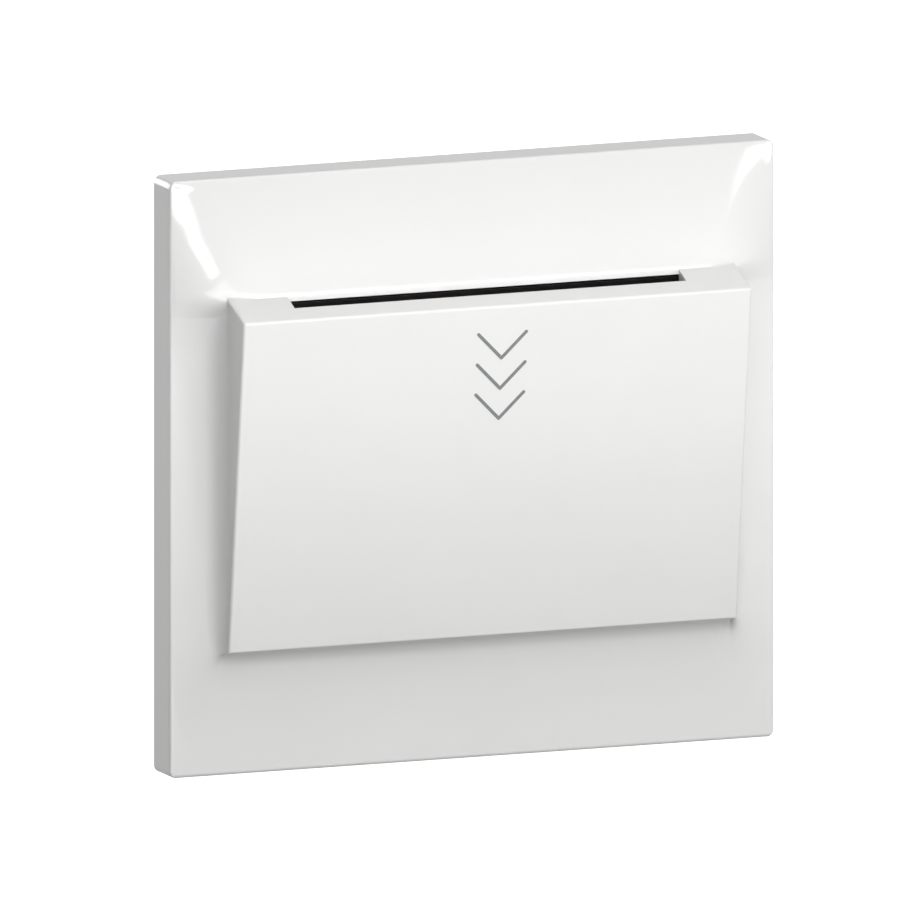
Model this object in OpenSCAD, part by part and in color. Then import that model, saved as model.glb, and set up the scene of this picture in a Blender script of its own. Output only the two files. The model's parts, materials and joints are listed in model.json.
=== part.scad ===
// Flush-mounted hotel key card switch, millimetres.
// The wall is the plane y = 0, the front faces -Y and the mechanism stands behind the wall plane.
// Depths in front of the wall are written as positive numbers and placed at y = -depth.

/* [Plate] */
// Width of the front plate
plate_w = 86; // [84:0.5:92]
// Height of the front plate
plate_h = 80; // [78:0.5:88]
// Thickness of the plate at its outer edge
edge_t = 5.6; // [5.4:0.1:6.6]
// Radius of the plate's outline corners
corner_r = 1; // [0.5:0.1:2]
// Radius of the plate's front edge
edge_r = 0.45; // [0.3:0.05:0.6]
// Thickness of the rim that stands on the wall
rim_t = 2; // [1.4:0.1:2.4]
// Thickness of the skin behind the outer edge
skin_t = 2; // [1.6:0.1:2.2]

/* [Crown of the plate] */
// Rise of the sloping side margins up to the pocket's walls
margin_rise = 2; // [1.6:0.1:2.2]
// Radius of the hollow between a side margin and the pocket's wall
root_r = 3; // [2:0.1:3.2]
// Rise of the sloping margin below the pocket
low_rise = 1.4; // [1:0.1:1.6]
// Radius of the hollow between that margin and the pocket
low_r = 1.8; // [1.2:0.1:2]
// Rise of the plate at the back edge of the slot
slot_rise = 3.9; // [3.7:0.1:4.2]
// Part of that rise made by the hollow at the foot of the ramp
hollow_lift = 0.7; // [0.5:0.05:0.9]
// Radius of the hollow where the ramp meets the slot
ramp_r = 10; // [8:0.5:12]

/* [Card pocket] */
// Width of the sloping margin on each side of the raised pocket
side_margin = 6.85; // [6.6:0.05:7.4]
// Height of the pocket face's upper edge above the centre
face_top = 22; // [21:0.5:23]
// Depth of the pocket face's lower edge below the centre
face_bottom = 23.1; // [22.5:0.1:24]
// Projection of the face's upper edge from the plate's edge
face_out_top = 9.2; // [9:0.1:10]
// Projection of the face's lower edge from the plate's edge
face_out_bottom = 3.8; // [3.6:0.1:4.2]
// Radius of the face's edges
face_r = 0.4; // [0.3:0.05:0.6]
// Thickness of the pocket's front wall
front_wall = 1.8; // [1.4:0.1:2]
// Thickness of the pocket's side walls
side_wall = 2; // [1.6:0.1:2.4]
// Height of the slot's back edge above the face's upper edge
slot_up = 2.25; // [2:0.05:2.6]
// Width of the slot, for a card 54 wide
slot_w = 55.7; // [55:0.1:57]
// Opening of the slot from back to front
slot_gap = 2.6; // [2.2:0.1:2.8]
// Height of the thin lip at the slot's back edge
lip_h = 0.65; // [0.5:0.05:0.9]

/* [Card guide] */
// Space between the guide and the pocket's front wall
channel_t = 4; // [3.8:0.1:4.2]
// Thickness of the guide's sheet
guide_t = 1.6; // [1.2:0.1:1.8]
// Thickness of the rails beside the card
rail_t = 1.6; // [1.2:0.1:1.8]
// Height of the ribs that back the card inside the front wall
rib_h = 2; // [1.5:0.1:2.2]
// Thickness of those ribs
rib_t = 1.2; // [0.8:0.1:1.5]

/* [Support yoke] */
// Space between the yoke and the cover's rim at each side
yoke_side = 5.5; // [5.2:0.1:5.8]
// Space between the yoke and the cover's rim above and below
yoke_end = 2.5; // [1.5:0.1:3]
// Thickness of the yoke's steel
yoke_t = 1.2; // [1:0.1:1.4]
// Distance between the wall box's screws
box_pitch = 60; // [60:0.1:60.6]
// Width of the slotted holes
box_slot_w = 4; // [3.6:0.1:4.4]
// Length of the slotted holes
box_slot_l = 7; // [6:0.1:7.4]
// Height of the ribs pressed into the yoke
press_h = 0.8; // [0.5:0.1:1]

/* [Mechanism case] */
// Width of the case
case_w = 44; // [44:0.2:46]
// Height of the case
case_h = 40; // [40:0.2:42]
// Depth of the case behind the wall plane
case_d = 20; // [20:0.2:24]
// Wall thickness of the case
case_t = 1.8; // [1.4:0.1:1.9]
// Radius of the case's corners
case_r = 5; // [4:0.2:6]

/* [Lever and plunger] */
// Depth of the lever's pivot behind the wall plane
pivot_y = 3.2; // [3.1:0.05:3.4]
// Height of the lever's pivot above the centre
pivot_z = 6; // [5.6:0.1:6.4]
// Radius of the pivot pin
pin_r = 1; // [0.9:0.05:1.2]
// Distance from the pivot down to the plunger
plunger_drop = 7.2; // [6.8:0.1:7.4]
// Distance from the pivot down to the lever's nose
nose_drop = 14; // [13:0.1:14.4]
// Width of the nose
nose_w = 6; // [5:0.1:6.4]
// Radius of the plunger's stem
plunger_r = 1.8; // [1.6:0.05:2]
// Travel of the plunger when a card is in
plunger_travel = 1.68; // [1.5:0.01:1.72]

/* [Contacts and terminals] */
// Distance of each contact from the middle
contact_x = 9; // [8.6:0.1:9.4]
// Radius of the contact buttons
contact_r = 1.8; // [1.5:0.05:2]
// Thickness of the contact metal
metal_t = 0.8; // [0.6:0.05:0.9]
// Width of each terminal block
block_w = 7; // [6.4:0.1:7.2]
// Radius of the wire hole in each terminal
wire_r = 1.6; // [1.2:0.05:1.7]

/* [Clearances] */
// Radial clearance of turning and sliding fits
run_gap = 0.04; // [0.02:0.01:0.08]
// Gap between pieces that sit beside each other
seat_gap = 0.15; // [0.1:0.01:0.2]

/* [Hidden] */
$fn = 64;
e = 0.01;

// Plate and pocket profile
half_w = plate_w / 2;
half_h = plate_h / 2;
wall_x = half_w - side_margin;
bottom_run = half_h - face_bottom;
crease_d = edge_t + slot_rise;
crease_z = face_top + slot_up;
top_d = edge_t + face_out_top;
bottom_d = edge_t + face_out_bottom;
root_d = edge_t + margin_rise;
low_d = edge_t + low_rise;
face_slope = (top_d - bottom_d) / (face_top + face_bottom);
face_skew = sqrt(1 + face_slope * face_slope);
land_slope = (crease_z - face_top) / (top_d - crease_d);
floor_z = -face_bottom + front_wall;
inner_d = edge_t - skin_t;

// Depth of the front wall's inner face and of the guide's front face at height z
function inner_face(z) = top_d - front_wall * face_skew - (face_top - z) * face_slope;
function guide_face(z) = inner_face(z) - channel_t;
function guide_back(z) = guide_face(z) - guide_t * face_skew;

// Ramp, and the hollow that ends it: tangent to the ramp's plane, through the slot's back edge
ramp_angle = atan((slot_rise - hollow_lift) / (half_h - crease_z));
crease_off = hollow_lift * cos(ramp_angle);
crease_along = (half_h - crease_z) * cos(ramp_angle) + slot_rise * sin(ramp_angle);
hollow_along = crease_along - sqrt(2 * ramp_r * crease_off - crease_off * crease_off);
hollow_d = edge_t + hollow_along * sin(ramp_angle);
hollow_z = half_h - hollow_along * cos(ramp_angle);

// Outward normals of the side profile as [depth, height], and the length of the face
ramp_n = [cos(ramp_angle), sin(ramp_angle)];
land_n = unit([crease_z - face_top, top_d - crease_d]);
face_n = [1, -face_slope] / face_skew;
low_n = unit([bottom_run, -low_rise]);
face_len = (face_top + face_bottom) * face_skew;

// Side margin as [width, depth]: its outward normal, and the hollow that joins it to the pocket's wall
side_n = unit([margin_rise, side_margin]);
root_t = root_r * (1 - side_n[0]) / side_n[1];
root_wall = [wall_x, root_d + root_t];
root_low = [wall_x + root_t * side_n[1], root_d - root_t * side_n[0]];
root_c = [wall_x + root_r, root_d + root_t];

// Hollow under the pocket as [depth, height], tangent to the pocket's lower wall and to the margin below it
low_t = low_r * (1 + low_n[1]) / low_n[0];
low_wall = [low_d + low_t, -face_bottom];
low_end = [low_d + low_t * low_n[1], -face_bottom - low_t * low_n[0]];
low_c = [low_d + low_t, -face_bottom - low_r];

function unit(v) = v / norm(v);
// Centre of the rounding of radius r in the corner b between faces with the normals m and n
function round_centre(b, m, n, r) = b - (m + n) * r / (1 + m * n);

// Guide, clips and yoke
free_gap = 0.3;
sink = 0.2;
// Roundings stand this far off their faces, so that they meet them at a small angle
round_off = 0.006;
guide_x = slot_w / 2 + rail_t;
guide_top = crease_z - lip_h - free_gap;
guide_low = floor_z + free_gap;
rail_top = face_top - front_wall - 0.8;
rail_lead = 3;
rib_x = 20;
rib_side = 2.4;
rib_top = 2;
rib_lead = 4;
yoke_w = plate_w - 2 * (rim_t + yoke_side);
yoke_h = plate_h - 2 * (rim_t + yoke_end);
yoke_cut = 6.5;
press_in = 6;
press_r = 2.4;
press_t = 1;
press_from = 8;
press_to = 22;
access_r = 4.2;
clip_w = 5;
clip_z = guide_top + free_gap + clip_w / 2;
clip_t = 0.5;
clip_x = yoke_w / 2 + free_gap;
clip_foot = 5.8;
bulge_r = 0.6;
bulge_d = yoke_t + 1.2;
catch_gap = 0.35;
catch_t = 1.6;
rivet_x = clip_x - 3.2;
rivet_r = 1;
rivet_head = 1.8;
screw_in = 4;
screw_x = case_w / 2 - screw_in;
screw_z = case_h / 2 - screw_in;
screw_seat = yoke_t + 1.1;
screw_l = 10;
screw_r = 1.45;
head_r = 2.7;
head_h = 1.8;
well_gap = 0.4;
well_t = 1.1;
hole_gap = 0.25;
post_r = 3.4;
drive_w = 0.8;

// Lever and plunger
nose_z = pivot_z - nose_drop;
nose_d = inner_face(nose_z) - 0.45;
plunger_z = pivot_z - plunger_drop;
pad_y = pivot_y + 0.9;
tip_y = pad_y + 0.1;
lid_y = tip_y + plunger_travel + 0.55;
lid_t = 1.5;
guide_boss = 3;
collar_y = lid_y + guide_boss + 0.05;
collar_t = 1.2;
collar_r = 3.4;
dome_r = 2.6;
boss_t = 1.6;
bridge_y = collar_y + collar_t;
button_h = 0.8;
button_face = bridge_y + metal_t + button_h;
fixed_face = button_face + plunger_travel + 0.07;
strip_y = fixed_face + button_h;
strip_back = strip_y + metal_t;
rear_y = case_d - 2;
ear_x = 7;
ear_t = 2;
hub_r = 2.4;
arm_w = 10;
nose_room = 6;
nose_head = 1.5;
window_gap = 0.5;
arm_rise = 3;
toe_r = 0.8;
heel_drop = 2.4;
foot_w = 3;
foot_half = 6;
case_in_x = case_w / 2 - case_t;
case_in_z = case_h / 2 - case_t;
ledge_t = 1.4;
ledge_half = 5;
partition_t = 1.4;
partition_gap = 6;

// Contacts and terminals
contact_half = 2.6;
contact_end = 2.4;
stem_r = 0.9;
contact_post_r = 2.2;
strip_half = 3;
terminal_x = screw_x - post_r - seat_gap - block_w / 2;
block_l = 8.9;
block_low = -case_in_z + free_gap;
block_top = block_low + block_l;
block_front = lid_y + lid_t + free_gap;
wire_wall = 1;
wire_y = block_front + wire_wall + wire_r;
funnel_gap = 0.7;
clamp_in = 2.6;
clamp_z = block_top - clamp_in;
clamp_r = 1.5;
clamp_head_r = 2.4;
clamp_head_h = 2;
clamp_rise = 0.9;
clamp_tip = wire_y + wire_r + 0.15;
support_half = 2.5;
support_l = 2.8;

// Return spring
spring_r = 2.3;
spring_wire = 0.25;
spring_turns = 5;
peg_r = 1.3;
spring_from = bridge_y + metal_t + spring_wire;
spring_to = rear_y - spring_wire;

white = [0.94, 0.94, 0.93];
black = [0.1, 0.09, 0.08];
zinc = [0.72, 0.73, 0.75];
brass = [0.8, 0.66, 0.33];
copper = [0.78, 0.5, 0.3];
silver = [0.85, 0.85, 0.83];
cream = [0.86, 0.85, 0.8];
grey = [0.5, 0.51, 0.52];

// Box between two corners
module block(x0, x1, y0, y1, z0, z1) {
  translate([x0, y0, z0])
    cube([x1 - x0, y1 - y0, z1 - z0]);
}

// Prism along X from a side profile of [depth in front of the wall, height] points
module side_prism(x0, x1, points) {
  translate([x0, 0, 0])
    rotate([90, 0, 90])
      linear_extrude(x1 - x0)
        polygon([for (p = points) [-p[0], p[1]]]);
}

module x_rod(r, y, z, x0, x1) {
  translate([x0, y, z])
    rotate([0, 90, 0])
      cylinder(r = r, h = x1 - x0);
}

module y_rod(r, x, z, y0, y1) {
  translate([x, y0, z])
    rotate([-90, 0, 0])
      cylinder(r = r, h = y1 - y0);
}

module z_rod(r, x, y, z0, z1) {
  translate([x, y, z0])
    cylinder(r = r, h = z1 - z0);
}

// Rounded rectangle in the plane of the wall, extruded from y0 to y1
module rounded_slab(w, h, r, y0, y1) {
  block(-w / 2 + r, w / 2 - r, y0, y1, -h / 2, h / 2);
  block(-w / 2, w / 2, y0, y1, -h / 2 + r, h / 2 - r);
  for (sx = [-1, 1], sz = [-1, 1])
    y_rod(r, sx * (w / 2 - r), sz * (h / 2 - r), y0, y1);
}

// Slotted hole in the plane of the wall, long along X or along Z
module wall_slot(x, z, along_z) {
  r = box_slot_w / 2;
  half = box_slot_l / 2 - r;
  dx = along_z ? 0 : half;
  dz = along_z ? half : 0;
  for (s = [-1, 1])
    y_rod(r, x + s * dx, z + s * dz, -yoke_t - 1, 1);
  block(x - max(dx, r), x + max(dx, r), -yoke_t - 1, 1, z - max(dz, r), z + max(dz, r));
}

// Cut that rounds an edge along X: c is the rounding's centre, m and n the normals beside the edge
module round_x(c, m, n, r) {
  o = r + sink;
  difference() {
    side_prism(-half_w - 2, half_w + 2, [c, c + m * o, c + (m + n) * o, c + n * o]);
    x_rod(r + round_off, -c[0], c[1], -half_w - 3, half_w + 3);
  }
}

// Cut that rounds the plate's front edge along one side
module round_plate_side(s) {
  c = round_centre([half_w, edge_t], [1, 0], side_n, edge_r);
  o = edge_r + sink;
  difference() {
    translate([0, 0, -half_h - 2])
      linear_extrude(plate_h + 4)
        polygon([for (p = [c, c + [o, 0], c + [o, 0] + side_n * o, c + side_n * o]) [s * p[0], -p[1]]]);
    z_rod(edge_r + round_off, s * c[0], -c[1], -half_h - 3, half_h + 3);
  }
}

// Cut that hollows the corner between one side margin and the pocket's wall
module hollow_root(s) {
  intersection() {
    z_rod(root_r + round_off, s * root_c[0], -root_c[1], -half_h - 2, half_h + 2);
    translate([0, 0, -half_h - 2])
      linear_extrude(plate_h + 4)
        polygon([for (p = [root_wall, [wall_x, root_d], root_low, root_c]) [s * p[0], -p[1]]]);
  }
}

// Cut that rounds the sloping face's edge above one side wall of the pocket
module round_face_side(s) {
  x0 = s * (wall_x - face_r);
  x1 = s * (wall_x + sink);
  translate([0, -bottom_d, -face_bottom])
    rotate([atan(face_slope), 0, 0])
      difference() {
        block(min(x0, x1), max(x0, x1), -sink, face_r, -2, face_len + 2);
        z_rod(face_r + round_off, x0, face_r, -3, face_len + 3);
      }
}

// Outer form seen from the side: ramp, hollow, slot land, sloping face and the margin below the pocket
module cover_side_form() {
  top = [edge_t, half_h];
  face_high = [top_d, face_top];
  face_low = [bottom_d, -face_bottom];
  low = [edge_t, -half_h];
  difference() {
    side_prism(-half_w - 1, half_w + 1, [[0, -half_h], [0, half_h], top, [hollow_d, hollow_z],
      [crease_d, crease_z], face_high, face_low, low_wall, low_end, low]);
    intersection() {
      x_rod(ramp_r, -hollow_d - ramp_r * cos(ramp_angle), hollow_z + ramp_r * sin(ramp_angle),
        -half_w - 2, half_w + 2);
      block(-half_w - 2, half_w + 2, -crease_d, 0, crease_z, half_h);
    }
    intersection() {
      x_rod(low_r + round_off, -low_c[0], low_c[1], -half_w - 2, half_w + 2);
      side_prism(-half_w - 2, half_w + 2, [low_wall, [low_d, -face_bottom], low_end, low_c]);
    }
    round_x(round_centre(top, [0, 1], ramp_n, edge_r), [0, 1], ramp_n, edge_r);
    round_x(round_centre(face_high, land_n, face_n, face_r), land_n, face_n, face_r);
    round_x(round_centre(face_low, face_n, [0, -1], face_r), face_n, [0, -1], face_r);
    round_x(round_centre(low, [0, -1], low_n, edge_r), [0, -1], low_n, edge_r);
  }
}

// Outer form seen from above: the pocket's block between two sloping margins
module cover_plan_form() {
  difference() {
    translate([0, 0, -half_h - 1])
      linear_extrude(plate_h + 2)
        polygon([[-half_w, 0], [half_w, 0], [half_w, -edge_t], [root_low[0], -root_low[1]],
          [wall_x, -root_wall[1]], [wall_x, -top_d - 1], [-wall_x, -top_d - 1], [-wall_x, -root_wall[1]],
          [-root_low[0], -root_low[1]], [-half_w, -edge_t]]);
    for (s = [-1, 1]) {
      hollow_root(s);
      round_plate_side(s);
      round_face_side(s);
    }
  }
}

// Hollow inside of the cover: rim, space under the ramp, and the pocket with the card's space
module cover_hollow() {
  ramp_in = skin_t / cos(ramp_angle);
  under_z = half_h - (crease_d - 3 - edge_t) / tan(ramp_angle);
  lid_d = crease_d - 3 - ramp_in;
  front_top = inner_face(face_top - front_wall);
  in_x = wall_x - side_wall;
  block(-half_w + rim_t, half_w - rim_t, -inner_d, 1, -half_h + rim_t, half_h - rim_t);
  side_prism(-in_x, in_x, [[inner_d - e, half_h - rim_t],
    [edge_t + rim_t * tan(ramp_angle) - ramp_in, half_h - rim_t], [lid_d, under_z],
    [lid_d, crease_z - lip_h], [crease_d, crease_z - lip_h], [crease_d, crease_z - front_wall],
    [front_top, crease_z - front_wall - (front_top - crease_d) * land_slope],
    [inner_face(floor_z), floor_z], [inner_d - e, floor_z]]);
  block(-slot_w / 2, slot_w / 2, -crease_d - slot_gap, -crease_d, face_top - front_wall - 2, crease_z + 1);
}

// Ribs inside the front wall that keep the card close to the lever's nose
module card_rib(x) {
  low = floor_z + rib_h;
  end = rib_top + rib_lead;
  side_prism(x - rib_t / 2, x + rib_t / 2, [[inner_face(low) + 0.5, low], [inner_face(low) - rib_h, low],
    [inner_face(rib_top) - rib_h, rib_top], [inner_face(end), end], [inner_face(end) + 0.5, end]]);
}

// Rails inside the front wall that keep the card from moving sideways
module card_rail(s) {
  x0 = min(s * slot_w / 2, s * guide_x);
  lead = rail_top - rail_lead;
  side_prism(x0, x0 + rail_t, [[inner_face(floor_z) + 0.5, floor_z - 0.5],
    [guide_face(floor_z) + free_gap, floor_z - 0.5], [guide_face(lead) + free_gap, lead],
    [inner_face(rail_top), rail_top], [inner_face(rail_top) + 0.5, rail_top]]);
}

// Catch that a spring clip of the yoke snaps into
module clip_catch(s) {
  x0 = clip_x + clip_t / 2 + catch_gap;
  for (sz = [-1, 1])
    difference() {
      block(min(s * x0, s * (x0 + catch_t)), max(s * x0, s * (x0 + catch_t)), -inner_d - free_gap,
        -bulge_d + catch_t, sz * clip_z - clip_w / 2 - 1, sz * clip_z + clip_w / 2 + 1);
      z_rod(bulge_r + 0.05, s * (clip_x + clip_t / 2), -bulge_d, sz * clip_z - clip_w, sz * clip_z + clip_w);
    }
}

module front_cover() {
  color(white) {
    difference() {
      intersection() {
        cover_side_form();
        cover_plan_form();
        rounded_slab(plate_w, plate_h, corner_r, -top_d - 1, 0);
      }
      cover_hollow();
    }
    for (s = [-1, 1]) {
      card_rib(s * rib_x);
      card_rib(s * (nose_w / 2 + rib_side));
      card_rail(s);
      clip_catch(s);
    }
  }
}

// Well for a case screw, from the screw's seat up through the guide's sheet
module screw_well(x, z) {
  y_rod(head_r + well_gap, x, z, -guide_face(z) - 3, -screw_seat);
  y_rod(screw_r + hole_gap, x, z, -screw_seat - 1, 0);
}

// Sloping sheet behind the card on side, top and bottom feet, with the nose's window
module card_guide() {
  window_x = nose_w / 2 + 2 * free_gap;
  color(black)
    difference() {
      union() {
        side_prism(-guide_x, guide_x, [[guide_back(guide_low), guide_low], [guide_face(guide_low), guide_low],
          [guide_face(guide_top), guide_top], [guide_back(guide_top), guide_top]]);
        for (s = [-1, 1]) {
          x0 = min(s * slot_w / 2, s * guide_x);
          side_prism(x0, x0 + rail_t, [[yoke_t, guide_low], [guide_face(guide_low), guide_low],
            [guide_face(guide_top), guide_top], [yoke_t, guide_top]]);
        }
        for (z = [guide_low, guide_top - guide_t])
          side_prism(-guide_x, guide_x, [[yoke_t, z], [yoke_t, z + guide_t],
            [guide_face(z + guide_t), z + guide_t], [guide_face(z), z]]);
        for (sx = [-1, 1], sz = [-1, 1])
          y_rod(head_r + well_gap + well_t, sx * screw_x, sz * screw_z, -guide_back(sz * screw_z) - free_gap,
            -yoke_t);
      }
      for (sx = [-1, 1], sz = [-1, 1])
        screw_well(sx * screw_x, sz * screw_z);
      for (s = [-1, 1])
        y_rod(access_r, s * box_pitch / 2, 0, -inner_face(0), 0);
      block(-window_x, window_x, -inner_face(0), 0, nose_z - nose_room, pivot_z - nose_head);
    }
}

// Long rib with round ends, as pressed into the yoke's sheet
module pressed_rib(r, sx, sz, y0, y1) {
  z = sz * (yoke_h / 2 - press_in);
  x0 = min(sx * press_from, sx * press_to);
  x1 = max(sx * press_from, sx * press_to);
  for (x = [x0, x1])
    y_rod(r, x, z, y0, y1);
  block(x0, x1, y0, y1, z - r, z + r);
}

module support_yoke() {
  window_x = ear_x + ear_t + window_gap;
  w = yoke_w / 2;
  h = yoke_h / 2;
  color(zinc)
    difference() {
      union() {
        rotate([90, 0, 0])
          linear_extrude(yoke_t)
            polygon([[-w, yoke_cut - h], [yoke_cut - w, -h], [w - yoke_cut, -h], [w, yoke_cut - h],
              [w, h - yoke_cut], [w - yoke_cut, h], [yoke_cut - w, h], [-w, h - yoke_cut]]);
        for (sx = [-1, 1], sz = [-1, 1])
          pressed_rib(press_r, sx, sz, -yoke_t - press_h, -e);
      }
      for (sx = [-1, 1], sz = [-1, 1])
        pressed_rib(press_r - press_t, sx, sz, -press_h, 1);
      block(-window_x, window_x, -yoke_t - 1, 1, nose_z - nose_room - 1, pivot_z + hub_r + sink);
      for (s = [-1, 1]) {
        wall_slot(s * box_pitch / 2, 0, false);
        wall_slot(0, s * box_pitch / 2, true);
      }
      for (sx = [-1, 1], sz = [-1, 1]) {
        y_rod(screw_r + hole_gap, sx * screw_x, sz * screw_z, -yoke_t - 1, 1);
        y_rod(rivet_r + 0.05, sx * rivet_x, sz * clip_z, -yoke_t - 1, 1);
      }
    }
}

// One spring clip: a foot on the yoke and a bulged upright outside the yoke's edge
module cover_clip(sz) {
  z0 = sz * clip_z - clip_w / 2;
  difference() {
    union() {
      block(clip_x - clip_foot, clip_x + clip_t / 2, -yoke_t - clip_t, -yoke_t, z0, z0 + clip_w);
      block(clip_x - clip_t / 2, clip_x + clip_t / 2, -inner_d + free_gap, -yoke_t, z0, z0 + clip_w);
      intersection() {
        z_rod(bulge_r, clip_x + clip_t / 2, -bulge_d, z0, z0 + clip_w);
        block(clip_x, clip_x + 2, -inner_d, 0, z0, z0 + clip_w);
      }
    }
    y_rod(rivet_r + 0.05, rivet_x, sz * clip_z, -inner_d, 0);
  }
}

module cover_clips() {
  color(grey)
    for (m = [0, 1], sz = [-1, 1])
      mirror([m, 0, 0])
        cover_clip(sz);
}

module clip_rivets() {
  color(zinc)
    for (sx = [-1, 1], sz = [-1, 1]) {
      y_rod(rivet_r, sx * rivet_x, sz * clip_z, -yoke_t - clip_t - 0.2, 0);
      y_rod(rivet_head, sx * rivet_x, sz * clip_z, -yoke_t - clip_t - 0.7, -yoke_t - clip_t);
    }
}

module mechanism_case() {
  ledge_x = case_in_x - ledge_t;
  ledge_z = case_in_z - ledge_t;
  deep = rear_y + 1;
  color(cream)
    difference() {
      union() {
        difference() {
          rounded_slab(case_w, case_h, case_r, 0, case_d);
          rounded_slab(case_in_x * 2, case_in_z * 2, case_r - case_t, -1, rear_y);
        }
        for (sx = [-1, 1], sz = [-1, 1])
          intersection() {
            y_rod(post_r, sx * screw_x, sz * screw_z, 0, deep);
            rounded_slab(case_w, case_h, case_r, 0, case_d);
          }
        for (s = [-1, 1]) {
          block(min(s * case_in_x, s * ledge_x) - sink, max(s * case_in_x, s * ledge_x) + sink,
            lid_y + lid_t, deep, -ledge_half, ledge_half);
          block(-ledge_half, ledge_half, lid_y + lid_t, deep, min(s * case_in_z, s * ledge_z) - sink,
            max(s * case_in_z, s * ledge_z) + sink);
          y_rod(contact_post_r, s * contact_x, plunger_z, strip_back, deep);
          block(s * terminal_x - support_half, s * terminal_x + support_half, strip_back, deep,
            block_top + sink, block_top + sink + support_l);
        }
        block(-partition_t / 2, partition_t / 2, lid_y + lid_t + 1, deep, -case_in_z - sink,
          plunger_z - partition_gap);
      }
      for (sx = [-1, 1], sz = [-1, 1])
        y_rod(screw_r + 0.05, sx * screw_x, sz * screw_z, -1, screw_l + 1);
      for (s = [-1, 1]) {
        z_rod(wire_r + funnel_gap, s * terminal_x, wire_y, -case_h / 2 - 1, -case_in_z + 1);
        y_rod(clamp_head_r + well_gap, s * terminal_x, clamp_z, rear_y - 1, case_d + 1);
      }
      y_rod(peg_r, 0, plunger_z, rear_y - 1, rear_y + 1.2);
    }
}

module contact_cover() {
  w = case_in_x - seat_gap;
  h = case_in_z - seat_gap;
  notch_x = screw_x - post_r - free_gap;
  notch_z = screw_z - post_r - free_gap;
  color(grey)
    difference() {
      union() {
        block(-w, w, lid_y, lid_y + lid_t, -notch_z, notch_z);
        block(-notch_x, notch_x, lid_y, lid_y + lid_t, -h, h);
        y_rod(plunger_r + boss_t, 0, plunger_z, lid_y, lid_y + guide_boss);
        for (s = [-1, 1]) {
          ear_0 = min(s * ear_x, s * (ear_x + ear_t));
          foot_0 = min(s * w, s * (w - foot_w));
          block(ear_0, ear_0 + ear_t, pivot_y, lid_y + e, pivot_z - hub_r, pivot_z + hub_r);
          x_rod(hub_r, pivot_y, pivot_z, ear_0, ear_0 + ear_t);
          block(foot_0, foot_0 + foot_w, 0, lid_y + e, -foot_half, foot_half);
        }
      }
      x_rod(pin_r + 0.01, pivot_y, pivot_z, -ear_x - ear_t - 1, ear_x + ear_t + 1);
      y_rod(plunger_r + run_gap, 0, plunger_z, lid_y - 1, lid_y + guide_boss + 1);
    }
}

module actuator_lever() {
  heel_z = nose_z - heel_drop;
  shoulder_z = pivot_z - arm_rise;
  color(black)
    difference() {
      union() {
        x_rod(hub_r, pivot_y, pivot_z, -ear_x + free_gap, ear_x - free_gap);
        side_prism(-arm_w / 2, arm_w / 2, [[hub_r - pivot_y, pivot_z], [-pad_y, pivot_z],
          [-pad_y, plunger_z - boss_t], [1 - pivot_y, heel_z], [sink, heel_z], [sink, shoulder_z]]);
        side_prism(-nose_w / 2, nose_w / 2, [[-1, shoulder_z],
          [guide_back(rib_top) - well_gap, shoulder_z - 1], [nose_d - 0.1, nose_z + toe_r],
          [nose_d - toe_r, nose_z - toe_r], [-1, heel_z]]);
        x_rod(toe_r, -nose_d + toe_r, nose_z, -nose_w / 2, nose_w / 2);
      }
      x_rod(pin_r + run_gap, pivot_y, pivot_z, -ear_x, ear_x);
    }
}

module lever_pin() {
  color(zinc)
    x_rod(pin_r, pivot_y, pivot_z, -ear_x - ear_t, ear_x + ear_t);
}

module plunger() {
  color(white) {
    intersection() {
      y_rod(plunger_r, 0, plunger_z, tip_y, collar_y + e);
      union() {
        translate([0, tip_y + dome_r, plunger_z])
          sphere(r = dome_r);
        y_rod(plunger_r, 0, plunger_z, tip_y + dome_r, collar_y + e);
      }
    }
    y_rod(collar_r, 0, plunger_z, collar_y, collar_y + collar_t);
    y_rod(peg_r, 0, plunger_z, collar_y, rear_y - plunger_travel - well_gap);
  }
}

module contact_bridge() {
  end_x = contact_x + contact_end;
  color(copper)
    difference() {
      block(-end_x, end_x, bridge_y, bridge_y + metal_t, plunger_z - contact_half, plunger_z + contact_half);
      y_rod(peg_r + 0.05, 0, plunger_z, bridge_y - 1, bridge_y + 2);
      for (s = [-1, 1])
        y_rod(stem_r, s * contact_x, plunger_z, bridge_y - 1, bridge_y + 2);
    }
}

// Contact button with its stem through the metal; up is 1 when the button faces the wall box
module button(x, y, up) {
  y_rod(contact_r, x, plunger_z, up > 0 ? y : y - button_h, up > 0 ? y + button_h : y);
  y_rod(stem_r, x, plunger_z, up > 0 ? y - metal_t : y - e, up > 0 ? y + e : y + metal_t);
}

module bridge_contacts() {
  color(silver)
    for (s = [-1, 1])
      button(s * contact_x, bridge_y + metal_t, 1);
}

module fixed_contacts() {
  color(silver)
    for (s = [-1, 1])
      button(s * contact_x, strip_y, -1);
}

module return_spring() {
  steps = 18;
  n = steps * spring_turns;
  sides = 8;
  pitch = (spring_to - spring_from) / n;
  function ring(i) = [for (k = [0:sides - 1])
    let (t = 360 * i / steps, a = 360 * k / sides, r = spring_r + spring_wire * cos(a))
      [r * cos(t), spring_from + pitch * i + spring_wire * sin(a), plunger_z + r * sin(t)]];
  function side(i, k) = [i * sides + k, i * sides + (k + 1) % sides,
    (i + 1) * sides + (k + 1) % sides, (i + 1) * sides + k];
  color(zinc)
    polyhedron(
      points = [for (i = [0:n]) each ring(i)],
      faces = [[for (k = [sides - 1:-1:0]) k], for (i = [0:n - 1], k = [0:sides - 1]) side(i, k),
        [for (k = [0:sides - 1]) n * sides + k]]);
}

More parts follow.
